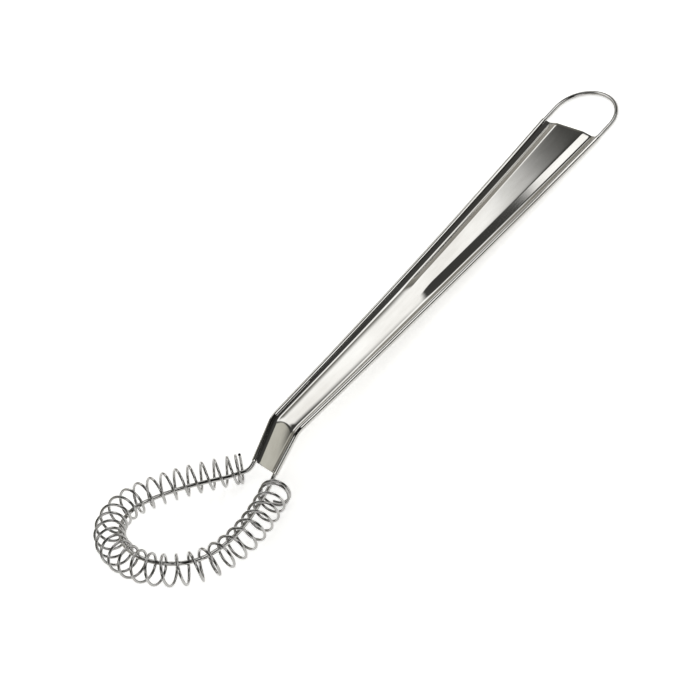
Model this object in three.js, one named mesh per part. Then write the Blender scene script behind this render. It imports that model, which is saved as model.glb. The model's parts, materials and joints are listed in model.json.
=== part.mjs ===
// A cranked coil whisk. A pressed sheet handle has its long edges rolled round a bent wire frame.
// The frame makes the hanging loop at one end and the whisk head at the other, and a loose coil
// spring is threaded on the head. The whisk lies on a table with the front of its handle up.
import * as THREE from 'three';

// Driving dimensions, in millimetres and degrees

// Stock
const frameWireDiameter = 1.7;
const coilWireDiameter = 1.1;
const sheetThickness = 0.35;

// Handle, measured along the middle of the sheet from the crank
const handleLength = 170;
const handleBow = 1.1;
const edgeSpanAtTop = 30;
const edgeSpanAtCrank = 15.1;
const edgeWaist = 0.5;
const edgeSpanAtNeckEnd = 13;
const neckLength = 18.2;
const crankAngle = 26;
const crankRadius = 8;

// Rolled edges: the sheet turns up the inner side of the wire, over it, down and under it, with this
// much play. Angles are from the way out of the handle towards its front.
const rollPlay = 0.15;
const rollStart = 165;
const rollTurn = -305;

// Pressing of the sheet: a sloping flange beside each rolled edge, a raised panel on the upper handle
// and a low crown below it. The foot is where the flange ends, measured from the wire.
const footHeight = -0.1;
const panelStart = 75;
const panelRise = 1.1;
const panelFlankWidth = 4.1;
const flangeWidth = 3.45;
const crownRise = 0.45;
const crownRiseAtNeckEnd = 0.2;
const crownMargin = 3;
const crownFadeLength = 15;

// Hanging loop
const hangShank = 7.6;
const hangDepth = 13.2;

// Head: the middle line of the coil lies in a plane that lifts from the line of the handle
const headLift = 22.2;
const headReach = 7.5;
const headDrop = 2.3;
const headSpan = 53.1;
const headLength = 59;
const headWidestAt = 36;
const headFlare = 34;
const headEndSpread = 8.6;
const headEndSet = 2.9;
const headEndLift = 1.3;
const flarePull = 12.1;
const flankPull = 14;
const shoulderPull = 13;
const crestPull = 14.4;

// Frame wire where it enters the coil: nearer the middle of the bore, and above it
const exitPull = 2.4;
const entryShift = 3;
const entryRise = 0.4;
const entryLength = 6;

// Butt joint of the frame wire, hidden in the right rolled edge
const jointHeight = 60;
const jointGap = 0.3;

// Coil spring: it rides on the head with the wire on the inner side of its bore
const coilDiameter = 12.3;
const coilPlay = 0.32;
const coilTurns = 33.5;
const coilStartTurn = -90;
const pitchGrowth = 0.065;
const coilEndTurns = 1.5;
const coilEndGap = 0.5;
const coilInsetLeft = 0.1;
const coilInsetRight = 0.2;

// Fineness of the solids
const wireSides = 8;
const rollSteps = 10;
const neckSteps = 3;
const crankSteps = 4;
const bowSteps = 9;
const hangSteps = 12;
const exitSteps = 5;
const loopSteps = 40;
const guideSteps = 80;
const coilSides = 5;
const stepsPerTurn = 8;
const tipShares = [0, 0.15, 0.4, 0.7, 1];
const leastFootShare = 0.6;
const leastTopShare = 0.4;
const flangeShares = [0.35, 0.7];
const gapParts = 6;
const steepestTilt = 20;
const tiltRounds = 40;

// Worked-out sizes
const radians = THREE.MathUtils.degToRad;
const frameWireRadius = frameWireDiameter / 2;
const coilWireRadius = coilWireDiameter / 2;
const rollInnerRadius = frameWireRadius + rollPlay;
const rollOuterRadius = rollInnerRadius + sheetThickness;
const flangeStart = -rollOuterRadius * Math.cos(radians(rollStart));
const flangeHeight = rollOuterRadius * Math.sin(radians(rollStart));
const coilMeanRadius = (coilDiameter - coilWireDiameter) / 2;
const coilStepAngle = (2 * Math.PI) / stepsPerTurn;
const coilBoreRadius = coilMeanRadius * Math.cos(coilStepAngle / 2) - coilWireRadius;
const coilShift = coilBoreRadius - frameWireRadius - coilPlay;
const headEndSpan = edgeSpanAtNeckEnd + headEndSpread;
const crankTangent = crankRadius * Math.tan(radians(crankAngle) / 2);

function mix(from, to, share) {
  return from + (to - from) * share;
}

function smoothStep(from, to, value) {
  return THREE.MathUtils.smoothstep(value, from, to);
}

// Handle line: a point on the middle of the sheet at wire height, and the way up from the sheet.
// Travel runs from the neck end, below zero, through the crank at zero to the top end.
function bowHeight(travel) {
  const share = travel / handleLength;
  return -4 * handleBow * share * (1 - share);
}

function bowSlope(travel) {
  return (-4 * handleBow * (1 - (2 * travel) / handleLength)) / handleLength;
}

function handleLine(travel) {
  const pitch = radians(crankAngle);
  if (travel >= crankTangent) {
    const lean = Math.atan(bowSlope(travel));
    return { y: travel, z: bowHeight(travel), lean };
  }
  if (travel <= -crankTangent) {
    return { y: travel * Math.cos(pitch), z: travel * Math.sin(pitch), lean: pitch };
  }
  const topLean = Math.atan(bowSlope(crankTangent));
  const share = (crankTangent - travel) / (2 * crankTangent);
  const from = new THREE.Vector2(crankTangent, bowHeight(crankTangent));
  const to = new THREE.Vector2(-crankTangent * Math.cos(pitch), -crankTangent * Math.sin(pitch));
  const curve = new THREE.QuadraticBezierCurve(from, new THREE.Vector2(0, 0), to);
  const point = curve.getPoint(share);
  return { y: point.x, z: point.y, lean: mix(topLean, pitch, share) };
}

// Half the distance between the two edge wires
function edgeHalf(travel) {
  if (travel < 0) {
    return mix(edgeSpanAtCrank, edgeSpanAtNeckEnd, -travel / neckLength) / 2;
  }
  const share = travel / handleLength;
  const waist = 4 * edgeWaist * share * (1 - share);
  return (mix(edgeSpanAtCrank, edgeSpanAtTop, share) - waist) / 2;
}

// Height that the press adds to the front of the sheet, at a place across and along
function pressedHeight(across, travel) {
  const half = edgeHalf(travel);
  const rise = travel < 0 ? mix(crownRise, crownRiseAtNeckEnd, -travel / neckLength) : crownRise;
  const fade = 1 - smoothStep(panelStart, panelStart + crownFadeLength, travel);
  const spread = Math.min(Math.abs(across) / (half - crownMargin), 1);
  const crown = rise * fade * (1 - spread * spread) ** 2;
  const tipHalf = edgeHalf(panelStart) - flangeWidth;
  const tipCentre = panelStart + tipHalf;
  const behindTip = Math.max(tipCentre - travel, 0);
  const footHalf = behindTip > 0 ? tipHalf : half - flangeWidth;
  const inside = footHalf - Math.hypot(across, behindTip);
  const panel = panelRise * THREE.MathUtils.clamp(inside / panelFlankWidth, 0, 1);
  return Math.max(crown, panel);
}

// Stations along the sheet: the neck, the crank, the long bow and the tip of the panel
function handleStations() {
  const stations = [];
  for (let i = 0; i < neckSteps; i += 1) {
    stations.push(mix(-neckLength, -crankTangent, i / neckSteps));
  }
  for (let i = 0; i <= crankSteps; i += 1) {
    stations.push(mix(-crankTangent, crankTangent, i / crankSteps));
  }
  for (let i = 1; i <= bowSteps; i += 1) {
    stations.push(mix(crankTangent, handleLength, i / bowSteps));
  }
  const tipHalf = edgeHalf(panelStart) - flangeWidth;
  for (const share of tipShares) {
    stations.push(panelStart + share * tipHalf);
  }
  const crownEnd = panelStart + crownFadeLength;
  stations.push(crownEnd);
  return stations.sort((a, b) => a - b);
}

// Height of the front of the sheet over the middle of the edge wires
function frontHeight(across, travel) {
  const fromEdge = edgeHalf(travel) - Math.abs(across);
  const share = Math.min(Math.max((flangeWidth - fromEdge) / (flangeWidth - flangeStart), 0), 1);
  return mix(footHeight, flangeHeight, share) + pressedHeight(across, travel);
}

// One section of the sheet: front points from the left raw edge to the right one, and back points
function sheetSection(travel) {
  const half = edgeHalf(travel);
  const foot = Math.max(half - flangeWidth, half * leastFootShare);
  const top = Math.max(foot - panelFlankWidth, foot * leastTopShare);
  const flange = flangeShares.map((share) => mix(foot, half - flangeStart, share));
  const acrossRight = [top / 2, top, (top + foot) / 2, foot, ...flange];
  const front = [];
  const back = [];
  for (let i = rollSteps; i >= 0; i -= 1) {
    const turn = radians(rollStart + (rollTurn * i) / rollSteps);
    front.push([-half - Math.cos(turn) * rollOuterRadius, Math.sin(turn) * rollOuterRadius]);
    back.push([-half - Math.cos(turn) * rollInnerRadius, Math.sin(turn) * rollInnerRadius]);
  }
  const acrossLeft = acrossRight.map((value) => -value).reverse();
  for (const across of [...acrossLeft, 0, ...acrossRight]) {
    const height = frontHeight(across, travel);
    front.push([across, height]);
    back.push([across, height - sheetThickness]);
  }
  for (let i = 0; i <= rollSteps; i += 1) {
    const turn = radians(rollStart + (rollTurn * i) / rollSteps);
    front.push([half + Math.cos(turn) * rollOuterRadius, Math.sin(turn) * rollOuterRadius]);
    back.push([half + Math.cos(turn) * rollInnerRadius, Math.sin(turn) * rollInnerRadius]);
  }
  return [...front, ...back.reverse()];
}

function placeOnHandle([across, height], travel) {
  const line = handleLine(travel);
  return new THREE.Vector3(
    across,
    line.y - height * Math.sin(line.lean),
    line.z + height * Math.cos(line.lean),
  );
}

// A closed skin over rings of points, with a flat strip across the first and last ring
function skinOverRings(rings, capTriangles) {
  const count = rings[0].length;
  const positions = rings.flat().flatMap((point) => [point.x, point.y, point.z]);
  const index = [];
  for (let ring = 0; ring + 1 < rings.length; ring += 1) {
    for (let i = 0; i < count; i += 1) {
      const a = ring * count + i;
      const b = ring * count + ((i + 1) % count);
      index.push(a, b, b + count, a, b + count, a + count);
    }
  }
  const last = (rings.length - 1) * count;
  for (const [a, b, c] of capTriangles) {
    index.push(c, b, a);
    index.push(last + a, last + b, last + c);
  }
  const geometry = new THREE.BufferGeometry();
  geometry.setAttribute('position', new THREE.Float32BufferAttribute(positions, 3));
  geometry.setIndex(index);
  geometry.computeVertexNormals();
  return geometry;
}

function sheetGeometry() {
  const rings = handleStations().map((travel) => {
    return sheetSection(travel).map((point) => placeOnHandle(point, travel));
  });
  const count = rings[0].length;
  const caps = [];
  for (let i = 0; i + 1 < count / 2; i += 1) {
    const across = count - 1 - i;
    caps.push([i, i + 1, across - 1], [i, across - 1, across]);
  }
  return skinOverRings(rings, caps);
}

// A round wire through points, square to the path at each of them
function wireGeometry(points, radius, sides) {
  const rings = [];
  const tangents = points.map((point, i) => {
    const before = points[Math.max(i - 1, 0)];
    const after = points[Math.min(i + 1, points.length - 1)];
    return after.clone().sub(before).normalize();
  });
  const first = tangents[0];
  const helper = new THREE.Vector3(1, 0, 0);
  const normal = helper.sub(first.clone().multiplyScalar(helper.dot(first))).normalize();
  points.forEach((point, i) => {
    if (i > 0) {
      const swing = new THREE.Quaternion().setFromUnitVectors(tangents[i - 1], tangents[i]);
      normal.applyQuaternion(swing).normalize();
    }
    const binormal = tangents[i].clone().cross(normal);
    const ring = [];
    for (let side = 0; side < sides; side += 1) {
      const turn = (2 * Math.PI * (side + 0.5)) / sides;
      const offset = normal.clone().multiplyScalar(Math.cos(turn) * radius);
      offset.addScaledVector(binormal, Math.sin(turn) * radius);
      ring.push(point.clone().add(offset));
    }
    rings.push(ring);
  });
  const caps = [];
  for (let side = 1; side + 1 < sides; side += 1) {
    caps.push([0, side, side + 1]);
  }
  return skinOverRings(rings, caps);
}

// Frame wire on the right: half of the hanging loop, then the rolled edge
function hangingLoopPoints() {
  const lean = Math.atan(bowSlope(handleLength));
  const half = edgeHalf(handleLength);
  const points = [];
  for (let i = 0; i < hangSteps; i += 1) {
    const turn = (Math.PI / 2) * (i / hangSteps);
    const reach = hangShank + hangDepth * Math.cos(turn);
    points.push(new THREE.Vector3(half * Math.sin(turn), reach, 0));
  }
  points.push(new THREE.Vector3(half, hangShank, 0));
  return points.map((point) => new THREE.Vector3(
    point.x,
    handleLength + point.y * Math.cos(lean),
    point.y * Math.sin(lean),
  ));
}

function onEdge(travel) {
  const line = handleLine(travel);
  return new THREE.Vector3(edgeHalf(travel), line.y, line.z);
}

function edgePoints() {
  return handleStations().reverse().map(onEdge);
}

const headNormal = new THREE.Vector3(0, Math.sin(radians(headLift)), Math.cos(radians(headLift)));

// A point of the head: across, along its plane from the neck, and lifted off that plane
function onHead(across, along, lift = 0) {
  const neckEnd = handleLine(-neckLength);
  const point = new THREE.Vector3(
    across,
    neckEnd.y - headReach - along * Math.cos(radians(headLift)),
    neckEnd.z - headDrop + along * Math.sin(radians(headLift)),
  );
  return point.addScaledVector(headNormal, lift);
}

// Middle line of the coil on the right: a flaring side and a round end
function headLine(stepsPerCurve) {
  const flare = radians(headFlare);
  const side = new THREE.CubicBezierCurve3(
    onHead(headEndSpan / 2, -headEndSet, headEndLift),
    onHead(
      headEndSpan / 2 + flarePull * Math.sin(flare),
      flarePull * Math.cos(flare) - headEndSet,
      headEndLift / 2,
    ),
    onHead(headSpan / 2, headWidestAt - flankPull),
    onHead(headSpan / 2, headWidestAt),
  );
  const end = new THREE.CubicBezierCurve3(
    onHead(headSpan / 2, headWidestAt),
    onHead(headSpan / 2, headWidestAt + shoulderPull),
    onHead(crestPull, headLength),
    onHead(0, headLength),
  );
  return [...side.getSpacedPoints(stepsPerCurve), ...end.getSpacedPoints(stepsPerCurve).slice(1)];
}

// Whole middle line from left to right, with its travel, its way out from the loop and its side
function coilGuide() {
  const right = headLine(guideSteps);
  const line = [...mirrored(right), ...[...right].reverse().slice(1)];
  let travel = 0;
  return line.map((middle, i) => {
    const before = line[Math.max(i - 1, 0)];
    const after = line[Math.min(i + 1, line.length - 1)];
    const along = after.clone().sub(before).normalize();
    const out = along.clone().cross(headNormal).normalize();
    const side = along.clone().cross(out);
    travel += i > 0 ? middle.distanceTo(before) : 0;
    return { middle, out, side, travel };
  });
}

function guideAt(guide, travel) {
  const found = guide.findIndex((entry) => entry.travel >= travel);
  const next = Math.max(found, 1);
  const before = guide[next - 1];
  const after = guide[next];
  const share = (travel - before.travel) / (after.travel - before.travel);
  const between = (key) => before[key].clone().lerp(after[key], share);
  return {
    middle: between('middle'),
    out: between('out').normalize(),
    side: between('side').normalize(),
  };
}

// Frame wire of the head, from the left neck end to the right: it lies inside the coil's middle line
function headWirePoints() {
  const guide = coilGuide();
  const length = guide[guide.length - 1].travel;
  const loop = [];
  for (let i = 0; i <= loopSteps; i += 1) {
    const travel = (length * i) / loopSteps;
    const place = guideAt(guide, travel);
    const entered = smoothStep(0, entryLength, Math.min(travel, length - travel));
    const point = place.middle.addScaledVector(place.out, -mix(entryShift, coilShift, entered));
    loop.push(point.addScaledVector(headNormal, mix(entryRise, 0, entered)));
  }
  const edges = mirrored(edgePoints());
  const neckEnd = edges[edges.length - 1];
  const alongNeck = neckEnd.clone().sub(edges[edges.length - 2]).normalize();
  const entry = loop[0];
  const alongEntry = loop[1].clone().sub(entry).normalize();
  const exit = new THREE.CubicBezierCurve3(
    neckEnd,
    neckEnd.clone().addScaledVector(alongNeck, exitPull),
    entry.clone().addScaledVector(alongEntry, -exitPull),
    entry,
  );
  const leftExit = exit.getPoints(exitSteps).slice(0, -1);
  const rightExit = mirrored(leftExit).reverse();
  return [...leftExit, ...loop, ...rightExit];
}

function mirrored(points) {
  return points.map((point) => new THREE.Vector3(-point.x, point.y, point.z));
}

// The whole frame wire, from its joint up the right edge, round and back to the joint
function frameWirePoints() {
  const hang = hangingLoopPoints();
  const edge = edgePoints();
  const jointFoot = jointHeight - jointGap;
  const above = edge.filter((point) => point.y > jointHeight + frameWireRadius);
  const below = edge.filter((point) => point.y < jointFoot - frameWireRadius);
  return [
    onEdge(jointHeight),
    ...above.reverse(),
    ...[...hang].reverse(),
    ...mirrored([...hang.slice(1), ...edge]),
    ...headWirePoints().slice(1, -1),
    ...below.reverse(),
    onEdge(jointFoot),
  ];
}

// Travel along the middle line after a number of turns: close-wound ends, and a pitch that grows a little
// from the left end to the right one between them
function coilTravel(turns, start, end) {
  const endPitch = coilWireDiameter + coilEndGap;
  const endLength = coilEndTurns * endPitch;
  const openTurns = coilTurns - 2 * coilEndTurns;
  if (turns <= coilEndTurns) {
    return start + turns * endPitch;
  }
  if (turns >= coilTurns - coilEndTurns) {
    return end - (coilTurns - turns) * endPitch;
  }
  const share = (turns - coilEndTurns) / openTurns;
  const openLength = end - start - 2 * endLength;
  return start + endLength + openLength * (share + pitchGrowth * share * (share - 1));
}

function coilPoints() {
  const guide = coilGuide();
  const start = coilInsetLeft;
  const end = guide[guide.length - 1].travel - coilInsetRight;
  const points = [];
  for (let step = 0; step <= coilTurns * stepsPerTurn; step += 1) {
    const turns = step / stepsPerTurn;
    const place = guideAt(guide, coilTravel(turns, start, end));
    const turn = radians(coilStartTurn) + (step + 0.5) * coilStepAngle;
    const point = place.middle.addScaledVector(place.out, Math.cos(turn) * coilMeanRadius);
    points.push(point.addScaledVector(place.side, Math.sin(turn) * coilMeanRadius));
  }
  return points;
}

// Least free gap between one turn and another, measured on points along the coil
function leastGap(points, radius) {
  const finer = [];
  for (let i = 0; i + 1 < points.length; i += 1) {
    for (let k = 0; k < gapParts; k += 1) {
      finer.push(points[i].clone().lerp(points[i + 1], k / gapParts));
    }
  }
  const apart = (stepsPerTurn * gapParts) / 2;
  let least = Infinity;
  for (let i = 0; i < finer.length; i += 1) {
    for (let k = i + apart; k < finer.length; k += 1) {
      least = Math.min(least, finer[i].distanceTo(finer[k]) - 2 * radius);
    }
  }
  return least;
}

// Finishes
const brightSheet = { color: 0xc9c6bd, metalness: 1, roughness: 0.16 };
const brightWire = { color: 0xc4c3c0, metalness: 1, roughness: 0.18 };
const springWire = { color: 0xb9b8b4, metalness: 1, roughness: 0.22 };

function named(name, geometry, finish) {
  const mesh = new THREE.Mesh(geometry, new THREE.MeshStandardMaterial(finish));
  mesh.name = name;
  return mesh;
}

const coilLine = coilPoints();
console.log(`coil turns: least gap ${leastGap(coilLine, coilWireRadius).toFixed(2)} mm`);

const pieces = [
  named('handle_sheet', sheetGeometry(), brightSheet),
  named('frame_wire', wireGeometry(frameWirePoints(), frameWireRadius, wireSides), brightWire),
  named('whisk_coil', wireGeometry(coilLine, coilWireRadius, coilSides), springWire),
];

// Lying on a table: the tilt at which the head and the hanging loop are equally low
function lowest(points, tilt, atHead) {
  const heights = points
    .filter((point) => (point.y < 0) === atHead)
    .map((point) => point.y * Math.sin(tilt) + point.z * Math.cos(tilt));
  return heights.reduce((low, height) => Math.min(low, height), Infinity);
}

function cornersOf(mesh) {
  const position = mesh.geometry.getAttribute('position');
  const corners = [];
  for (let i = 0; i < position.count; i += 1) {
    corners.push(new THREE.Vector3().fromBufferAttribute(position, i));
  }
  return corners;
}

function restingTilt(points) {
  let low = radians(-steepestTilt);
  let high = radians(steepestTilt);
  for (let i = 0; i < tiltRounds; i += 1) {
    const middle = (low + high) / 2;
    if (lowest(points, middle, true) < lowest(points, middle, false)) {
      high = middle;
    } else {
      low = middle;
    }
  }
  return (low + high) / 2;
}

const lying = new THREE.Group();
lying.add(...pieces);
lying.rotation.x = restingTilt(pieces.flatMap(cornersOf));
console.log(`tilt on the table: ${THREE.MathUtils.radToDeg(lying.rotation.x).toFixed(2)} degrees`);

// Origin on the table under the middle of the whisk
const whisk = new THREE.Group();
whisk.add(lying);
whisk.updateMatrixWorld(true);
const box = new THREE.Box3().setFromObject(whisk, true);
const centre = box.getCenter(new THREE.Vector3());
lying.position.set(-centre.x, -centre.y, -box.min.z);

export default whisk;
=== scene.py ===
"""A cranked coil whisk of bright plated steel, modelled over its packed frame.

The handle is a pressed sheet rolled round a bent wire frame. The frame makes the hanging loop and the
round head, and a loose coil is threaded on the head. Lengths are in metres and angles in radians.
Shapes are first worked out in the handle's own frame: X across, Y from the crank to the top end, Z out
of the front. One matrix then lays them on the table, where the packed frame has them.
"""

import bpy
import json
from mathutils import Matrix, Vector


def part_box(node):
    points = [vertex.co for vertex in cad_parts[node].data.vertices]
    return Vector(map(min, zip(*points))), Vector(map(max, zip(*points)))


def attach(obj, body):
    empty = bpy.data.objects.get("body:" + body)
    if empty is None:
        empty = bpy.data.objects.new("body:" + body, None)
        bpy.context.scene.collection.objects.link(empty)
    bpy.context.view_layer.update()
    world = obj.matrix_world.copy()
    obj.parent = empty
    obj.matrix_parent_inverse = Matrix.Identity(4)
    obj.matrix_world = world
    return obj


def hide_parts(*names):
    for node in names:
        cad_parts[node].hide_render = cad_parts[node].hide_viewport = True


bl_info = {
    "name": "Coil Whisk",
    "version": (1, 0, 0),
    "blender": (4, 5, 0),
    "location": "View3D > Sidebar > Whisk",
    "description": "Models a cranked coil whisk over its packed frame",
    "category": "Object",
}

import json
import math
from collections import namedtuple

import bpy
from bpy.props import FloatProperty, PointerProperty, StringProperty
from mathutils import Matrix, Vector
from mathutils.geometry import interpolate_bezier

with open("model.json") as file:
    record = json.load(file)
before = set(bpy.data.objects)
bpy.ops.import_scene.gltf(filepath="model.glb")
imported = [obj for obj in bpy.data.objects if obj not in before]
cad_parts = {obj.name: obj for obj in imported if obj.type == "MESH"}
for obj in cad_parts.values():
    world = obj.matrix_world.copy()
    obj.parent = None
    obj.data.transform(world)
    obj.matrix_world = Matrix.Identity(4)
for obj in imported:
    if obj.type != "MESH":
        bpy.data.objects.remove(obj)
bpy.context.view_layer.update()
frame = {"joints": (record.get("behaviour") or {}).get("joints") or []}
FLOAT_JOINT = frame["joints"][0]

# Fineness of the meshes
ROLL_STEPS = 30
FLANGE_STEPS = 10
FLANK_STEPS = 18
TOP_STEPS = 8
NECK_ROWS = 14
CRANK_ROWS = 22
LOWER_ROWS = 44
TIP_ROWS = 44
UPPER_ROWS = 54
EDGE_POINTS = 90
LOOP_POINTS = 48
EXIT_POINTS = 12
HEAD_POINTS = 160
GUIDE_POINTS = 120
STEPS_PER_TURN = 30
WIRE_ROUNDNESS = 5

# Least share of the sheet's flat width that the columns over the panel's top take up
LEAST_TOP_SHARE = 0.4

# The frame wire leaves the neck in line with the part of it past this share of its length
NECK_AIM_SHARE = 0.9

# Smooth shading, the rounding of the sheet's cut edge, and the welding of doubled points
SMOOTH_ANGLE = math.radians(45)
CUT_ANGLE = math.radians(60)
CUT_SHARE = 0.2
CUT_SEGMENTS = 2
WELD_SHARE = 0.001


def size(name, description, default):
    """A length that a user may change, in metres."""
    return FloatProperty(name=name, description=description, default=default, unit="LENGTH", precision=5)


def turn(name, description, degrees):
    """An angle that a user may change, given in degrees."""
    angle = math.radians(degrees)
    return FloatProperty(name=name, description=description, default=angle, unit="ROTATION")


def number(name, description, default):
    """A plain number that a user may change."""
    return FloatProperty(name=name, description=description, default=default)


def tint(name, description, colour):
    """A colour that a user may change, as an sRGB hex value."""
    return StringProperty(name=name, description=description, default=colour)


class HandleSizes(bpy.types.PropertyGroup):
    """The pressed sheet, measured along its middle from the crank."""

    length: size("Length", "From the crank to the cut top end", 0.170)
    bow: size("Bow", "How far the middle of the handle dips", 0.0011)
    sheet: size("Sheet", "Thickness of the sheet", 0.00025)
    span_at_top: size("Span at top", "Between the edge wires at the top end", 0.030)
    span_at_crank: size("Span at crank", "Between the edge wires at the crank", 0.0151)
    edge_waist: size("Edge waist", "How far the span narrows halfway up", 0.0005)
    span_at_neck_end: size("Span at neck end", "Between the edge wires where the sheet ends", 0.013)
    neck_length: size("Neck length", "From the crank to the lower end", 0.0182)
    crank_angle: turn("Crank angle", "How far the neck turns down", 26)
    crank_radius: size("Crank radius", "Radius of the rolled edges' bend at the crank", 0.010)
    crease_radius: size("Crease radius", "Radius of the crease in the middle of the sheet", 0.0035)
    crease_arch: size("Crease arch", "How far the crease at the crank bulges up the handle", 0.0009)
    roll_play: size("Roll play", "Gap between the wire and its rolled edge", 0.00003)
    roll_start: turn("Roll start", "Where the flange meets the roll, from the way out", 165)
    roll_turn: turn("Roll turn", "How far the edge turns over and under the wire", 305)
    panel_start: size("Panel start", "Where the raised panel begins to climb", 0.071)
    panel_ramp: size("Panel ramp", "Length over which the panel climbs and the crown runs out", 0.012)
    panel_rise: size("Panel rise", "Height of the raised panel", 0.00125)
    flank_width: size("Flank width", "Width of the panel's sloping flank", 0.0041)
    flange_width: size("Flange width", "From an edge wire to the foot of the flank", 0.00345)
    flange_at_crank: size("Flange at crank", "From an edge wire to the foot at the crank", 0.0022)
    foot_height: size("Foot height", "Height of the foot over the edge wires' middle", -0.0003)
    fold_width: size("Fold width", "Half of the rounding along the panel's edges", 0.0005)
    foot_fold: size("Foot fold", "Half of the rounding along the foot", 0.0009)
    crown_rise: size("Crown rise", "Height of the crown below the panel", 0.00053)
    crown_at_neck_end: size("Crown at neck end", "Height of the crown where the sheet ends", 0.00039)


class WireSizes(bpy.types.PropertyGroup):
    """The bent frame wire."""

    diameter: size("Diameter", "Wire gauge", 0.0017)
    hang_shank: size("Hanging shank", "Straight length past the sheet", 0.0076)
    hang_depth: size("Hanging depth", "Depth of the round of the hanging loop", 0.0132)
    joint_height: size("Joint height", "Where the wire's two ends meet in the right edge", 0.060)
    joint_gap: size("Joint gap", "Gap between the two ends", 0.0003)
    exit_pull: size("Exit pull", "Stiffness of the bend below the neck", 0.0024)
    entry_shift: size("Entry shift", "From the coil's middle line at the coil's ends", 0.0032)
    entry_rise: size("Entry rise", "Above the coil's middle line at its ends", 0.0004)
    entry_length: size("Entry length", "Over which the wire settles in the coil", 0.006)
    coil_play: size("Coil play", "Gap between the wire and the inside of the coil", 0.0003)


class HeadSizes(bpy.types.PropertyGroup):
    """The middle line of the coil round the head."""

    lift: turn("Lift", "Rise of the head's plane from the line of the handle", 22.2)
    reach: size("Reach", "From the neck end to the start of the head's plane", 0.0075)
    drop: size("Drop", "From the neck end down to the start of the head's plane", 0.0023)
    span: size("Span", "Widest span of the middle line", 0.0531)
    length: size("Length", "Along the head's plane to the crest", 0.059)
    widest_at: size("Widest at", "Along the head's plane to the widest place", 0.036)
    flare: turn("Flare", "How far the ends of the middle line spread", 34)
    end_span: size("End span", "Between the two ends of the middle line", 0.0216)
    end_set: size("End set", "How far the ends stand back from the plane's start", 0.0029)
    end_lift: size("End lift", "How far the ends stand over the plane", 0.0013)
    flare_pull: size("Flare pull", "Length of the straight flare", 0.0121)
    flank_pull: size("Flank pull", "Fullness below the widest place", 0.014)
    shoulder_pull: size("Shoulder pull", "Fullness above the widest place", 0.013)
    crest_pull: size("Crest pull", "Fullness of the crest", 0.0144)


class CoilSizes(bpy.types.PropertyGroup):
    """The loose coil spring."""

    wire: size("Wire", "Gauge of the coil's wire", 0.0011)
    diameter: size("Diameter", "Outside diameter of the coil", 0.0121)
    turns: number("Turns", "Turns of the coil", 33.5)
    pitch_growth: number("Pitch growth", "Growth of the pitch to the right", 0.065)
    phase: turn("Phase", "Where the first turn starts", -67.5)
    end_turns: number("End turns", "Close turns at each end", 1.5)
    end_blend: number("End blend", "Turns over which the pitch opens", 0.8)
    end_gap: size("End gap", "Gap between the close turns", 0.0005)
    inset_left: size("Left inset", "From the middle line's left end to the coil", 0.0001)
    inset_right: size("Right inset", "From the middle line's right end to the coil", 0.0002)


class Finishes(bpy.types.PropertyGroup):
    """Colours of the plated metals and of the stage, as sRGB hex values."""

    sheet_light: tint("Sheet, bright", "Clean plating on the sheet", "#cccbc8")
    sheet_dull: tint("Sheet, dull", "Handled plating on the sheet", "#bcbab6")
    wire_light: tint("Wire, bright", "Clean plating on the frame wire", "#bebdbb")
    wire_dull: tint("Wire, dull", "Rubbed plating on the frame wire", "#a8a7a5")
    coil_light: tint("Coil, bright", "Clean plating on the coil", "#bdbcbb")
    coil_dull: tint("Coil, dull", "Rubbed plating on the coil", "#a3a2a0")
    floor: tint("Floor", "Pale floor", "#fbfbfa")


GROUPS = {
    "whisk_handle": HandleSizes,
    "whisk_wire": WireSizes,
    "whisk_head": HeadSizes,
    "whisk_coil": CoilSizes,
    "whisk_finish": Finishes,
}


def mix(start, end, share):
    """The value or point that lies this share of the way from start to end."""
    return start + (end - start) * share


def arch(share):
    """0 at both ends and 1 halfway."""
    return 4 * share * (1 - share)


def smooth_step(start, end, value):
    """Rises from 0 at start to 1 at end, level at both."""
    share = min(max((value - start) / (end - start), 0.0), 1.0)
    return share * share * (3 - 2 * share)


def opening_ramp(value):
    """Level up to 0, rising at 1 in 1 past 1, and smooth between."""
    if value <= 0:
        return 0.0
    if value >= 1:
        return value - 0.5
    return value**3 - value**4 / 2


def spread(start, end, count):
    """Even values from start, without end."""
    return [mix(start, end, i / count) for i in range(count)]


def mirrored(points):
    """The same points on the other side of the whisk."""
    return [Vector((-point.x, point.y, point.z)) for point in points]


# Shape of the handle, in its own frame


def bow_slope(handle, travel):
    """Slope of the handle's bow, which dips in the middle."""
    return -4 * handle.bow * (1 - 2 * travel / handle.length) / handle.length


def handle_line(handle, travel, radius):
    """Y, Z and lean of the sheet at wire height, bent to a radius. Travel is negative on the neck."""
    tangent = radius * math.tan(handle.crank_angle / 2)
    if travel <= -tangent:
        along = Vector((math.cos(handle.crank_angle), math.sin(handle.crank_angle)))
        return travel * along.x, travel * along.y, handle.crank_angle
    share = travel / handle.length
    height = -handle.bow * arch(share)
    lean = math.atan(bow_slope(handle, travel))
    if travel >= tangent:
        return travel, height, lean
    # The bend is a curve between its two ends, drawn towards the crank, which is at zero
    bend = (tangent - travel) / (2 * tangent)
    upper_y, upper_z, upper_lean = handle_line(handle, tangent, radius)
    lower_y, lower_z, lower_lean = handle_line(handle, -tangent, radius)
    upper_share = (1 - bend) ** 2
    lower_share = bend**2
    y = upper_share * upper_y + lower_share * lower_y
    z = upper_share * upper_z + lower_share * lower_z
    return y, z, mix(upper_lean, lower_lean, bend)


def edge_half(handle, travel):
    """Half of the distance between the two edge wires."""
    if travel < 0:
        return mix(handle.span_at_crank, handle.span_at_neck_end, -travel / handle.neck_length) / 2
    share = travel / handle.length
    waist = handle.edge_waist * arch(share)
    return (mix(handle.span_at_crank, handle.span_at_top, share) - waist) / 2


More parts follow.
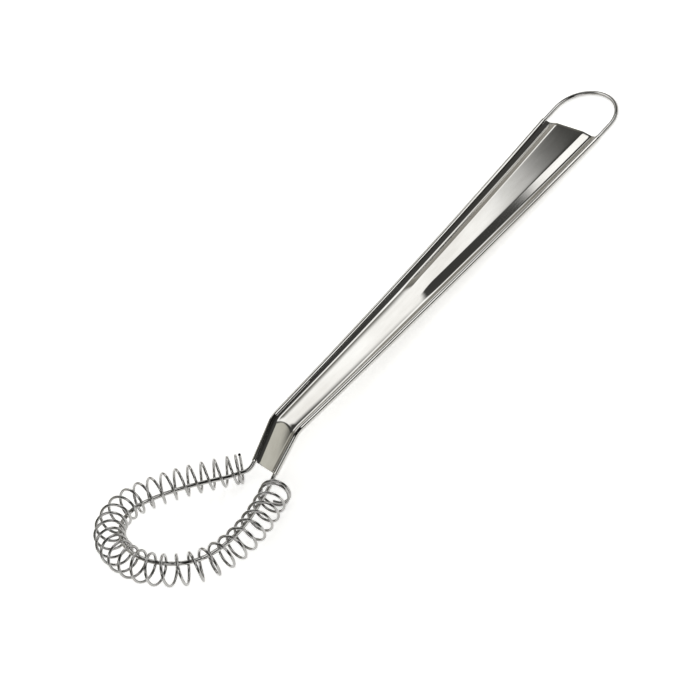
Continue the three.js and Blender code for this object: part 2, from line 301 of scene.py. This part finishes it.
def flange_width_at(handle, travel):
    """From an edge wire to the foot, which spreads from the crank up to the panel."""
    spread_out = smooth_step(0, handle.panel_start + handle.panel_ramp, travel)
    return mix(handle.flange_at_crank, handle.flange_width, spread_out)


def foot_half(handle, travel):
    """From the middle of the sheet to the foot of a flange."""
    return edge_half(handle, travel) - flange_width_at(handle, travel)


def rounded(distance, half_fold):
    """The distance past a fold, and 0 before it, with the fold rounded this far each way."""
    return 2 * half_fold * opening_ramp((distance + half_fold) / (2 * half_fold))


def middle_share(handle, across, travel):
    """1 on the middle of the sheet, falling in an arch to 0 at the feet of the flanges."""
    reach = min(abs(across) / foot_half(handle, travel), 1.0)
    return 1 - reach * reach


def pressed_height(handle, across, travel):
    """Height that the press adds to the front of the sheet: a crown that runs out into the panel."""
    climbed = smooth_step(handle.panel_start, handle.panel_start + handle.panel_ramp, travel)
    foot = foot_half(handle, travel)
    inside = foot - abs(across)
    climb = rounded(inside, handle.foot_fold)
    level = rounded(inside - handle.flank_width, handle.fold_width)
    panel = handle.panel_rise * (climb - level) / handle.flank_width
    down_neck = max(-travel / handle.neck_length, 0.0)
    crown_height = mix(handle.crown_rise, handle.crown_at_neck_end, down_neck)
    crown = crown_height * (1 - (1 - climb / foot) ** 2)
    return mix(crown, panel, climbed)


def handle_rows(handle):
    """Places along the sheet from the neck end to the top, closest at the crank and the panel's tip."""
    bend = 2 * handle.crank_radius * math.tan(handle.crank_angle / 2) + handle.crease_arch
    tip_end = handle.panel_start + handle.panel_ramp
    rows = spread(-handle.neck_length, -bend, NECK_ROWS)
    rows += spread(-bend, bend, CRANK_ROWS)
    rows += spread(bend, handle.panel_start, LOWER_ROWS)
    rows += spread(handle.panel_start, tip_end, TIP_ROWS)
    rows += spread(tip_end, handle.length, UPPER_ROWS)
    return rows + [handle.length]


def roll_radius(handle, wire):
    """Outside radius of the rolled edges."""
    return wire.diameter / 2 + handle.roll_play + handle.sheet


def flange_height(handle, wire, from_edge, travel):
    """Height of the flange's front over the wires' middle. It slopes down from the roll to the foot."""
    radius = roll_radius(handle, wire)
    start = -radius * math.cos(handle.roll_start)
    start_height = radius * math.sin(handle.roll_start)
    width = flange_width_at(handle, travel)
    slope = (start_height - handle.foot_height) / (width - start)
    return handle.foot_height + slope * rounded(width - from_edge, handle.foot_fold)


def sheet_section(handle, wire, travel):
    """Front of the sheet across one row: panel, flank, flange and rolled edge, and the same mirrored."""
    half = edge_half(handle, travel)
    radius = roll_radius(handle, wire)
    rim = half + radius * math.cos(handle.roll_start)
    foot = foot_half(handle, travel)
    top = max(foot - handle.flank_width, foot * LEAST_TOP_SHARE)
    across = spread(0.0, top, TOP_STEPS)
    across += spread(top, foot, FLANK_STEPS)
    across += spread(foot, rim, FLANGE_STEPS)
    right = []
    for x in across:
        flange = flange_height(handle, wire, half - x, travel)
        right.append((x, flange + pressed_height(handle, x, travel)))
    for i in range(ROLL_STEPS + 1):
        angle = handle.roll_start - handle.roll_turn * i / ROLL_STEPS
        right.append((half + radius * math.cos(angle), radius * math.sin(angle)))
    left = [(-x, height) for x, height in reversed(right[1:])]
    return left + right


def sheet_point(handle, across, height, travel):
    """A point of the sheet. The crease at the crank is arched and sharpest in the middle."""
    share = middle_share(handle, across, travel)
    early = handle.crease_arch * share
    radius = mix(handle.crank_radius, handle.crease_radius, share)
    y, z, lean = handle_line(handle, travel - early, radius)
    return Vector((across, y + early - height * math.sin(lean), z + height * math.cos(lean)))


# Shape of the wires, in the handle's own frame


def edge_point(handle, travel):
    """Middle of the wire in the right edge."""
    y, z, _ = handle_line(handle, travel, handle.crank_radius)
    return Vector((edge_half(handle, travel), y, z))


def hanging_loop(handle, wire):
    """Right half of the hanging loop, from the sheet's end to the far end of the loop."""
    lean = math.atan(bow_slope(handle, handle.length))
    half = edge_half(handle, handle.length)
    points = []
    for i in range(LOOP_POINTS + 1):
        angle = math.pi / 2 * i / LOOP_POINTS
        reach = wire.hang_shank + wire.hang_depth * math.sin(angle)
        y = handle.length + reach * math.cos(lean)
        points.append(Vector((half * math.cos(angle), y, reach * math.sin(lean))))
    return points


def head_normal(head):
    """Way up from the head's plane."""
    return Vector((0, math.sin(head.lift), math.cos(head.lift)))


def on_head(handle, head, across, along, lift=0.0):
    """A point across and along the head's plane, and lifted off it."""
    y, z, _ = handle_line(handle, -handle.neck_length, handle.crank_radius)
    start = Vector((across, y - head.reach, z - head.drop))
    forward = Vector((0, -math.cos(head.lift), math.sin(head.lift)))
    return start + forward * along + head_normal(head) * lift


# A place on the coil's middle line, the ways out of the loop and to its side, and the travel so far
GuidePlace = namedtuple("GuidePlace", "middle out side travel")


def coil_guide(handle, head):
    """The coil's middle line from left to right, as guide places."""
    flare = Vector((math.sin(head.flare), math.cos(head.flare))) * head.flare_pull
    half = head.span / 2
    ends = [
        on_head(handle, head, head.end_span / 2, -head.end_set, head.end_lift),
        on_head(handle, head, head.end_span / 2 + flare.x, flare.y - head.end_set, head.end_lift / 2),
        on_head(handle, head, half, head.widest_at - head.flank_pull),
        on_head(handle, head, half, head.widest_at),
    ]
    crest = [
        on_head(handle, head, half, head.widest_at),
        on_head(handle, head, half, head.widest_at + head.shoulder_pull),
        on_head(handle, head, head.crest_pull, head.length),
        on_head(handle, head, 0, head.length),
    ]
    right = interpolate_bezier(*ends, GUIDE_POINTS) + interpolate_bezier(*crest, GUIDE_POINTS)[1:]
    line = mirrored(right) + right[-2::-1]
    guide = []
    travel = 0.0
    for i, middle in enumerate(line):
        before = line[max(i - 1, 0)]
        after = line[min(i + 1, len(line) - 1)]
        along = (after - before).normalized()
        out = along.cross(head_normal(head)).normalized()
        travel += (middle - before).length
        guide.append(GuidePlace(middle, out, along.cross(out), travel))
    return guide


def guide_at(guide, travel):
    """Place, way out and side of the middle line after this much travel."""
    after = next((i for i, place in enumerate(guide) if place.travel >= travel), len(guide) - 1)
    after = max(after, 1)
    first = guide[after - 1]
    second = guide[after]
    share = (travel - first.travel) / (second.travel - first.travel)
    middle = mix(first.middle, second.middle, share)
    out = mix(first.out, second.out, share)
    side = mix(first.side, second.side, share)
    return middle, out.normalized(), side.normalized()


def head_wire(handle, wire, head, coil):
    """The frame wire from the left neck end round the head to the right one."""
    guide = coil_guide(handle, head)
    length = guide[-1].travel
    bore = coil.diameter / 2 - coil.wire
    shift = bore - wire.diameter / 2 - wire.coil_play
    loop = []
    for i in range(HEAD_POINTS + 1):
        travel = length * i / HEAD_POINTS
        middle, out, _ = guide_at(guide, travel)
        entered = smooth_step(0, wire.entry_length, min(travel, length - travel))
        inward = mix(wire.entry_shift, shift, entered)
        rise = mix(wire.entry_rise, 0, entered)
        loop.append(middle - out * inward + head_normal(head) * rise)
    right_end = edge_point(handle, -handle.neck_length)
    right_above = edge_point(handle, -handle.neck_length * NECK_AIM_SHARE)
    neck_end, above = mirrored([right_end, right_above])
    along_neck = (neck_end - above).normalized()
    along_loop = (loop[1] - loop[0]).normalized()
    pull = wire.exit_pull
    exit_line = interpolate_bezier(
        neck_end, neck_end + along_neck * pull, loop[0] - along_loop * pull, loop[0], EXIT_POINTS
    )
    return exit_line[:-1] + loop + mirrored(exit_line[:-1])[::-1]


def frame_wire_path(handle, wire, head, coil):
    """The whole frame wire: up the right edge from its joint, round the loop, down, round the head."""
    top = handle.length
    neck_end = -handle.neck_length
    foot = wire.joint_height - wire.joint_gap
    upper = [edge_point(handle, t) for t in spread(wire.joint_height, top, EDGE_POINTS)]
    whole = [edge_point(handle, t) for t in spread(top, neck_end, 2 * EDGE_POINTS)]
    lower = [edge_point(handle, t) for t in spread(foot, neck_end, EDGE_POINTS)]
    loop = [edge_point(handle, top)] + hanging_loop(handle, wire)
    round_loop = loop + mirrored(loop[-2::-1])
    path = upper + round_loop + mirrored(whole[1:])
    return path + head_wire(handle, wire, head, coil) + lower[::-1]


def coil_travel(coil, turns, length):
    """Travel after some turns: close turns at both ends, and a pitch that grows to the right."""
    close = coil.wire + coil.end_gap
    open_turns = coil.turns - 2 * coil.end_turns
    open_length = length - 2 * coil.end_turns * close
    share = (turns - coil.end_turns) / open_turns
    even = open_length * (share + coil.pitch_growth * share * (share - 1))
    first = close * (turns - coil.end_turns)
    last = open_length + close * (turns - coil.turns + coil.end_turns)
    blend = coil.end_blend / 2
    opened = smooth_step(coil.end_turns - blend, coil.end_turns + blend, turns)
    closed = smooth_step(coil.end_turns - blend, coil.end_turns + blend, coil.turns - turns)
    middle = mix(first, even, opened)
    return close * coil.end_turns + mix(last, middle, closed)


def coil_path(handle, head, coil):
    """The coil's wire as a right-handed helix round the middle line."""
    guide = coil_guide(handle, head)
    length = guide[-1].travel - coil.inset_left - coil.inset_right
    radius = (coil.diameter - coil.wire) / 2
    points = []
    count = round(coil.turns * STEPS_PER_TURN)
    for i in range(count + 1):
        turns = coil.turns * i / count
        travel = coil_travel(coil, turns, length)
        middle, out, side = guide_at(guide, coil.inset_left + travel)
        angle = math.tau * turns + coil.phase
        points.append(middle + (out * math.cos(angle) + side * math.sin(angle)) * radius)
    return points


def resting_place(handle, wire, head):
    """From the handle's own frame to the table, tilted as the packed joint is, loop end on the table."""
    axis = Vector(FLOAT_JOINT["axis"])
    tilt = math.atan2(axis.y, axis.z) - head.lift
    turned = Matrix.Rotation(-tilt, 4, "X")
    far_end = turned @ hanging_loop(handle, wire)[-1]
    low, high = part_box("frame_wire")
    radius = wire.diameter / 2
    x = (low.x + high.x) / 2
    y = high.y - radius - far_end.y
    z = low.z + radius - far_end.z
    return Matrix.Translation(Vector((x, y, z))) @ turned


# Materials

MM_PER_METRE = 1000
NOISE_ROUGHNESS = 0.55

# Depths of the marks in the plating: press waves, rubbing marks and pits
WAVE_DEPTH = 0.00005
RUB_DEPTH = 0.0000015
PIT_DEPTH = 0.000006

# Roughness of the plating. The sheet's is clean and rubbed, and the pits change a wire's by these shares
SHEET_ROUGHNESS = (0.045, 0.085)
FRAME_WIRE_ROUGHNESS = 0.11
SPRING_WIRE_ROUGHNESS = 0.14
PIT_SHARES = (0.7, 1.4)

# Sockets of a colour mix, which go by number because other kinds of mix share their names
MIX_FACTOR = 0
MIX_FIRST = 6
MIX_SECOND = 7
MIX_COLOUR = 2


def linear(colour):
    """Linear RGBA of an sRGB hex value."""
    channels = [int(colour[i : i + 2], 16) / 255 for i in (1, 3, 5)]
    values = [c / 12.92 if c <= 0.04045 else ((c + 0.055) / 1.055) ** 2.4 for c in channels]
    return (*values, 1.0)


def add_node(tree, kind, settings=None, links=None):
    """Adds a node, sets it up, and gives each named input a value or a link."""
    node = tree.nodes.new(kind)
    for name, value in (settings or {}).items():
        setattr(node, name, value)
    for name, source in (links or {}).items():
        if isinstance(source, bpy.types.NodeSocket):
            tree.links.new(source, node.inputs[name])
        else:
            node.inputs[name].default_value = source
    return node


def maths(tree, operation, first, second):
    """The result of one operation on two numbers."""
    links = {0: first, 1: second}
    return add_node(tree, "ShaderNodeMath", {"operation": operation}, links).outputs[0]


def empty_tree(owner):
    """The node tree of a material or world, with nothing in it."""
    owner.use_nodes = True
    owner.node_tree.nodes.clear()
    return owner.node_tree


def new_metal(name):
    """A metal with only a Principled shader and its output."""
    material = bpy.data.materials.new(name)
    tree = empty_tree(material)
    shader = add_node(tree, "ShaderNodeBsdfPrincipled", links={"Metallic": 1.0})
    add_node(tree, "ShaderNodeOutputMaterial", links={"Surface": shader.outputs["BSDF"]})
    return material, tree, shader


def stretched_noise(tree, across_mm, along_mm, detail):
    """Noise whose grains are this wide and this long, running along the handle."""
    place = add_node(tree, "ShaderNodeTexCoord").outputs["Object"]
    across = MM_PER_METRE / across_mm
    along = MM_PER_METRE / along_mm
    links = {"Vector": place, "Scale": (across, along, across)}
    scaled = add_node(tree, "ShaderNodeMapping", links=links).outputs["Vector"]
    links = {"Vector": scaled, "Scale": 1.0, "Detail": detail, "Roughness": NOISE_ROUGHNESS}
    return add_node(tree, "ShaderNodeTexNoise", links=links).outputs["Fac"]


def between(tree, factor, low, high, start=0.3, end=0.7):
    """A number between low and high as a factor goes from start to end."""
    links = {"Value": factor, "From Min": start, "From Max": end, "To Min": low, "To Max": high}
    return add_node(tree, "ShaderNodeMapRange", {"clamp": True}, links).outputs["Result"]


def two_tones(tree, factor, first, second):
    """A colour between two sRGB hex values."""
    links = {MIX_FACTOR: factor, MIX_FIRST: linear(first), MIX_SECOND: linear(second)}
    return add_node(tree, "ShaderNodeMix", {"data_type": "RGBA"}, links).outputs[MIX_COLOUR]


def bright_nickel_on_pressed_sheet(finish):
    """Nickel-plated steel sheet: mirror bright, a little wavy from the press, faintly rubbed."""
    material, tree, shader = new_metal("bright_nickel_on_pressed_sheet")
    handled = stretched_noise(tree, across_mm=9, along_mm=26, detail=3)
    rubbed = stretched_noise(tree, across_mm=0.5, along_mm=14, detail=5)
    waves = stretched_noise(tree, across_mm=11, along_mm=19, detail=0)
    colour = two_tones(tree, between(tree, handled, 0.0, 1.0), finish.sheet_light, finish.sheet_dull)
    tree.links.new(colour, shader.inputs["Base Color"])
    tree.links.new(between(tree, rubbed, *SHEET_ROUGHNESS), shader.inputs["Roughness"])
    wave_bump = add_node(tree, "ShaderNodeBump", links={"Height": waves, "Distance": WAVE_DEPTH})
    links = {"Height": rubbed, "Distance": RUB_DEPTH, "Normal": wave_bump.outputs["Normal"]}
    bump = add_node(tree, "ShaderNodeBump", links=links)
    tree.links.new(bump.outputs["Normal"], shader.inputs["Normal"])
    return material


def bright_nickel_on_wire(name, light, dull, roughness):
    """Nickel-plated drawn wire: bright, with dull rubbed stretches and small pits in the plating."""
    material, tree, shader = new_metal(name)
    handled = stretched_noise(tree, across_mm=4, along_mm=4, detail=3)
    pits = stretched_noise(tree, across_mm=0.45, along_mm=0.45, detail=4)
    colour = two_tones(tree, between(tree, handled, 0.0, 1.0), light, dull)
    tree.links.new(colour, shader.inputs["Base Color"])
    clean, pitted = (roughness * share for share in PIT_SHARES)
    tree.links.new(between(tree, pits, clean, pitted), shader.inputs["Roughness"])
    bump = add_node(tree, "ShaderNodeBump", links={"Height": pits, "Distance": PIT_DEPTH})
    tree.links.new(bump.outputs["Normal"], shader.inputs["Normal"])
    return material


# Modelling


def deselect_all():
    """Goes to object mode with nothing selected."""
    if bpy.context.mode != "OBJECT":
        bpy.ops.object.mode_set(mode="OBJECT")
    bpy.ops.object.select_all(action="DESELECT")


def apply_modifiers(piece):
    """Makes the modifiers of the active piece part of its mesh, in their order."""
    for modifier in list(piece.modifiers):
        bpy.ops.object.modifier_apply(modifier=modifier.name)


def seat(piece, material, body, node):
    """Gives a finished piece its material, and joins it to the packed frame."""
    piece.data.materials.clear()
    piece.data.materials.append(material)
    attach(piece, body)
    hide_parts(node)


def bent_wire(name, points, diameter):
    """A round wire with closed ends through these points, as a mesh."""
    deselect_all()
    bpy.ops.curve.primitive_nurbs_path_add(location=(0, 0, 0))
    piece = bpy.context.object
    piece.name = name
    curve = piece.data
    curve.splines.clear()
    spline = curve.splines.new("POLY")
    spline.points.add(len(points) - 1)
    for target, point in zip(spline.points, points):
        target.co = (*point, 1.0)
    curve.dimensions = "3D"
    curve.twist_mode = "MINIMUM"
    curve.bevel_depth = diameter / 2
    curve.bevel_resolution = WIRE_ROUNDNESS
    curve.use_fill_caps = True
    bpy.ops.object.convert(target="MESH")
    piece = bpy.context.object
    bpy.ops.object.mode_set(mode="EDIT")
    bpy.ops.mesh.select_all(action="SELECT")
    bpy.ops.mesh.remove_doubles(threshold=diameter * WELD_SHARE)
    bpy.ops.mesh.normals_make_consistent(inside=False)
    bpy.ops.object.mode_set(mode="OBJECT")
    bpy.ops.object.shade_smooth_by_angle(angle=SMOOTH_ANGLE)
    return piece


class WHISK_OT_press_handle(bpy.types.Operator):
    """Press the handle from a flat blank and roll its edges over the wire"""

    bl_idname = "whisk.press_handle"
    bl_label = "Press Handle"

    def execute(self, context):
        scene = context.scene
        handle = scene.whisk_handle
        wire = scene.whisk_wire
        rows = handle_rows(handle)
        sections = [sheet_section(handle, wire, travel) for travel in rows]
        columns = len(sections[0])
        deselect_all()
        bpy.ops.mesh.primitive_grid_add(
            x_subdivisions=columns - 1, y_subdivisions=len(rows) - 1, size=1.0, location=(0, 0, 0)
        )
        piece = context.object
        piece.name = "pressed_handle"
        if len(piece.data.vertices) != columns * len(rows):
            raise RuntimeError("the blank has another number of points than the sheet's rows")
        place = resting_place(handle, wire, scene.whisk_head)
        for vertex in piece.data.vertices:
            column = round((vertex.co.x + 0.5) * (columns - 1))
            row = round((vertex.co.y + 0.5) * (len(rows) - 1))
            across, height = sections[row][column]
            vertex.co = place @ sheet_point(handle, across, height, rows[row])
        wall = piece.modifiers.new("wall", "SOLIDIFY")
        wall.thickness = handle.sheet
        wall.offset = -1
        wall.use_even_offset = True
        cut = piece.modifiers.new("cut edge", "BEVEL")
        cut.width = handle.sheet * CUT_SHARE
        cut.segments = CUT_SEGMENTS
        cut.limit_method = "ANGLE"
        cut.angle_limit = CUT_ANGLE
        apply_modifiers(piece)
        bpy.ops.object.shade_smooth_by_angle(angle=SMOOTH_ANGLE)
        material = bright_nickel_on_pressed_sheet(scene.whisk_finish)
        seat(piece, material, "frame", "handle_sheet")
        return {"FINISHED"}


class WHISK_OT_bend_frame_wire(bpy.types.Operator):
    """Bend the frame wire: hanging loop, both edges and the head"""

    bl_idname = "whisk.bend_frame_wire"
    bl_label = "Bend Frame Wire"

    def execute(self, context):
        scene = context.scene
        handle = scene.whisk_handle
        wire = scene.whisk_wire
        head = scene.whisk_head
        finish = scene.whisk_finish
        place = resting_place(handle, wire, head)
        path = [place @ point for point in frame_wire_path(handle, wire, head, scene.whisk_coil)]
        piece = bent_wire("bent_frame_wire", path, wire.diameter)
        material = bright_nickel_on_wire(
            "bright_nickel_on_frame_wire", finish.wire_light, finish.wire_dull, FRAME_WIRE_ROUGHNESS
        )
        seat(piece, material, "frame", "frame_wire")
        return {"FINISHED"}


class WHISK_OT_wind_coil(bpy.types.Operator):
    """Wind the loose coil round the head"""

    bl_idname = "whisk.wind_coil"
    bl_label = "Wind Coil"

    def execute(self, context):
        scene = context.scene
        handle = scene.whisk_handle
        head = scene.whisk_head
        coil = scene.whisk_coil
        finish = scene.whisk_finish
        place = resting_place(handle, scene.whisk_wire, head)
        path = [place @ point for point in coil_path(handle, head, coil)]
        piece = bent_wire("wound_coil", path, coil.wire)
        material = bright_nickel_on_wire(
            "bright_nickel_on_spring_wire", finish.coil_light, finish.coil_dull, SPRING_WIRE_ROUGHNESS
        )
        seat(piece, material, "coil", "whisk_coil")
        return {"FINISHED"}


# Stage

CAMERA_AIM = Vector((-0.00212, -0.01505, 0.01209))
CAMERA_AZIMUTH = math.radians(71.95)
CAMERA_ELEVATION = math.radians(42.27)
CAMERA_ROLL = math.radians(-36.75)
CAMERA_DISTANCE = 0.6487
CAMERA_LENS = 87.04
SENSOR_WIDTH = 36.0
FLOOR_SIZE = 6.0
FLOOR_GLOW = 0.62
LAMP_HEIGHT = 1.6
LAMP_SIZE = 1.8
LAMP_WATTS = 3.0

# The dark room as the metal sees it: Z of a direction, and the linear colour there
ROOM_BANDS = [
    (-0.05, (0.42, 0.41, 0.39)),
    (0.10, (0.46, 0.44, 0.40)),
    (0.30, (0.34, 0.33, 0.29)),
    (0.55, (0.09, 0.09, 0.085)),
    (1.0, (0.07, 0.07, 0.068)),
]

# On the camera's side the room darkens between these X of a direction, to this share
DARK_SIDE_START = -0.1
DARK_SIDE_END = 0.35
DARK_SIDE_SHARE = 0.12

# A soft box faces a point, and fades out over a share of its width and of its height
SoftBox = namedtuple("SoftBox", "middle faces width height soft_shares colour")
BOX_MIDDLE = 0.5

SOFT_BOXES = {
    # Bright on the crown and the lower part of the panel
    "back_box": SoftBox(
        middle=(-0.398, 0.100, 0.374),
        faces=(0, 0.03, 0.01),
        width=0.56,
        height=0.36,
        soft_shares=(0.18, 0.24),
        colour=(1.65, 1.65, 1.64),
    ),
    # White on the panel's right flank near the top end
    "top_box": SoftBox(
        middle=(0.075, 0.535, 0.50),
        faces=(0.075, 0.535, 0.0),
        width=0.43,
        height=0.45,
        soft_shares=(0.06, 0.06),
        colour=(1.8, 1.8, 1.79),
    ),
    # White line along the left rolled edge
    "front_box": SoftBox(
        middle=(0.285, 0.25, 0.48),
        faces=(0, 0.25, 0.01),
        width=0.42,
        height=0.36,
        soft_shares=(0.12, 0.10),
        colour=(1.8, 1.8, 1.79),
    ),
    # Bright lines along the wires of the head
    "low_box": SoftBox(
        middle=(0.22, -0.42, 0.40),
        faces=(0, -0.09, 0.02),
        width=0.40,
        height=0.24,
        soft_shares=(0.15, 0.2),
        colour=(2.2, 2.2, 2.18),
    ),
    # Thin line at the foot of the left flank near the top end
    "edge_card": SoftBox(
        middle=(-0.43, 0.335, 0.275),
        faces=(0, 0.09, 0.01),
        width=0.17,
        height=0.09,
        soft_shares=(0.2, 0.25),
        colour=(1.6, 1.6, 1.59),
    ),
    # Warm grey on the neck
    "side_card": SoftBox(
        middle=(-0.422, -0.335, 0.294),
        faces=(0, -0.06, 0.01),
        width=0.36,
        height=0.27,
        soft_shares=(0.25, 0.2),
        colour=(0.85, 0.84, 0.76),
    ),
}


def from_angles(azimuth, elevation):
    """Direction towards an azimuth and elevation. Azimuth 0 looks along +Y from the front."""
    flat = math.cos(elevation)
    return Vector((math.sin(azimuth) * flat, -math.cos(azimuth) * flat, math.sin(elevation)))


def dark_room(scene):
    """A dark ceiling and grey walls, darker on the side of the camera, as a bright metal shows them."""
    world = bpy.data.worlds.new("dark_room")
    scene.world = world
    tree = empty_tree(world)
    ray = add_node(tree, "ShaderNodeTexCoord").outputs["Generated"]
    ways = add_node(tree, "ShaderNodeSeparateXYZ", links={"Vector": ray}).outputs
    share = between(tree, ways["Z"], 0.0, 1.0, start=-1.0, end=1.0)
    bands = add_node(tree, "ShaderNodeValToRGB", links={"Fac": share})
    stops = bands.color_ramp.elements
    for _ in ROOM_BANDS[2:]:
        stops.new(1.0)
    for stop, (z, colour) in zip(stops, ROOM_BANDS):
        stop.position = (z + 1) / 2
        stop.color = (*colour, 1.0)
    strength = between(tree, ways["X"], 1.0, DARK_SIDE_SHARE, DARK_SIDE_START, DARK_SIDE_END)
    links = {"Color": bands.outputs["Color"], "Strength": strength}
    room = add_node(tree, "ShaderNodeBackground", links=links)
    add_node(tree, "ShaderNodeOutputWorld", links={"Surface": room.outputs[0]})


def lit_cloth(name, colour, soft_shares):
    """Lit cloth of a soft box, brightest in the middle and fading at its edges."""
    material = bpy.data.materials.new(name)
    tree = empty_tree(material)
    place = add_node(tree, "ShaderNodeTexCoord").outputs["UV"]
    sides = add_node(tree, "ShaderNodeSeparateXYZ", links={"Vector": place}).outputs
    fades = []
    for side, soft_share in zip((sides["X"], sides["Y"]), soft_shares):
        from_edge = maths(tree, "PINGPONG", side, BOX_MIDDLE)
        links = {"Value": from_edge, "From Max": soft_share}
        settings = {"interpolation_type": "SMOOTHSTEP"}
        fades.append(add_node(tree, "ShaderNodeMapRange", settings, links).outputs["Result"])
    strength = maths(tree, "MULTIPLY", *fades)
    glow = add_node(tree, "ShaderNodeEmission", links={"Color": (*colour, 1.0), "Strength": 1.0})
    clear = add_node(tree, "ShaderNodeBsdfTransparent")
    links = {0: strength, 1: clear.outputs[0], 2: glow.outputs[0]}
    cloth = add_node(tree, "ShaderNodeMixShader", links=links)
    add_node(tree, "ShaderNodeOutputMaterial", links={"Surface": cloth.outputs[0]})
    return material


def hang_soft_box(name, sizes):
    """A soft box that the camera doesn't see, square to the point that it faces."""
    deselect_all()
    bpy.ops.mesh.primitive_plane_add(size=1.0)
    box = bpy.context.object
    box.name = name
    box.scale = (sizes.width, sizes.height, 1.0)
    box.location = sizes.middle
    towards = Vector(sizes.faces) - Vector(sizes.middle)
    box.rotation_euler = towards.to_track_quat("Z", "Y").to_euler()
    box.visible_camera = False
    box.data.materials.append(lit_cloth("lit_cloth_" + name, sizes.colour, sizes.soft_shares))


def matt_white_card(finish):
    """Matt white card for the floor. It glows to the camera and to metal alike, and keeps its shadow."""
    material = bpy.data.materials.new("matt_white_card")
    tree = empty_tree(material)
    colour = linear(finish.floor)
    card = add_node(tree, "ShaderNodeBsdfDiffuse", links={"Color": colour})
    path = add_node(tree, "ShaderNodeLightPath").outputs
    mirrored_ray = maths(tree, "MAXIMUM", path["Is Glossy Ray"], path["Is Transmission Ray"])
    seen = maths(tree, "MAXIMUM", path["Is Camera Ray"], mirrored_ray)
    strength = maths(tree, "MULTIPLY", seen, FLOOR_GLOW)
    glow = add_node(tree, "ShaderNodeEmission", links={"Color": colour, "Strength": strength})
    both = add_node(tree, "ShaderNodeAddShader", links={0: card.outputs[0], 1: glow.outputs[0]})
    add_node(tree, "ShaderNodeOutputMaterial", links={"Surface": both.outputs[0]})
    return material


def lay_floor(finish):
    """A wide plain floor under the whisk."""
    deselect_all()
    bpy.ops.mesh.primitive_plane_add(size=FLOOR_SIZE, location=(0, 0, 0))
    floor = bpy.context.object
    floor.name = "floor"
    floor.data.materials.append(matt_white_card(finish))


def hang_lamp():
    """A wide soft lamp over the floor, which the metal doesn't show."""
    deselect_all()
    bpy.ops.object.light_add(type="AREA", location=(0, 0, LAMP_HEIGHT))
    lamp = bpy.context.object
    lamp.name = "floor_lamp"
    lamp.data.size = LAMP_SIZE
    lamp.data.energy = LAMP_WATTS
    lamp.visible_glossy = False


def set_camera(scene):
    """The camera, turned about the line that it looks along so that the handle rises to the right."""
    bpy.ops.object.camera_add()
    camera = bpy.context.object
    camera.name = "camera"
    camera.location = CAMERA_AIM + from_angles(CAMERA_AZIMUTH, CAMERA_ELEVATION) * CAMERA_DISTANCE
    pan = Matrix.Rotation(CAMERA_AZIMUTH, 3, "Z")
    pitch = Matrix.Rotation(math.pi / 2 - CAMERA_ELEVATION, 3, "X")
    roll = Matrix.Rotation(CAMERA_ROLL, 3, "Z")
    camera.rotation_euler = (pan @ pitch @ roll).to_euler()
    camera.data.sensor_width = SENSOR_WIDTH
    camera.data.lens = CAMERA_LENS
    scene.camera = camera


class WHISK_OT_set_stage(bpy.types.Operator):
    """Set the floor, the light and the camera"""

    bl_idname = "whisk.set_stage"
    bl_label = "Set Stage"

    def execute(self, context):
        scene = context.scene
        scene.view_settings.view_transform = "Standard"
        dark_room(scene)
        lay_floor(scene.whisk_finish)
        for name, sizes in SOFT_BOXES.items():
            hang_soft_box(name, sizes)
        hang_lamp()
        set_camera(scene)
        return {"FINISHED"}


class WHISK_PT_panel(bpy.types.Panel):
    """Lists the steps of the whisk"""

    bl_label = "Whisk"
    bl_idname = "WHISK_PT_panel"
    bl_space_type = "VIEW_3D"
    bl_region_type = "UI"
    bl_category = "Whisk"

    def draw(self, context):
        for step in STEPS:
            self.layout.operator(step.bl_idname)
        for name, group in GROUPS.items():
            box = self.layout.box()
            box.label(text=group.__doc__)
            for field in group.__annotations__:
                box.prop(getattr(context.scene, name), field)


STEPS = [WHISK_OT_press_handle, WHISK_OT_bend_frame_wire, WHISK_OT_wind_coil, WHISK_OT_set_stage]
CLASSES = [*GROUPS.values(), *STEPS, WHISK_PT_panel]


def register():
    for item in CLASSES:
        bpy.utils.register_class(item)
    for name, group in GROUPS.items():
        setattr(bpy.types.Scene, name, PointerProperty(type=group))


def unregister():
    for name in GROUPS:
        delattr(bpy.types.Scene, name)
    for item in reversed(CLASSES):
        bpy.utils.unregister_class(item)


def main():
    register()
    bpy.ops.whisk.press_handle()
    bpy.ops.whisk.bend_frame_wire()
    bpy.ops.whisk.wind_coil()
    bpy.ops.whisk.set_stage()


if __name__ == "__main__":
    main()
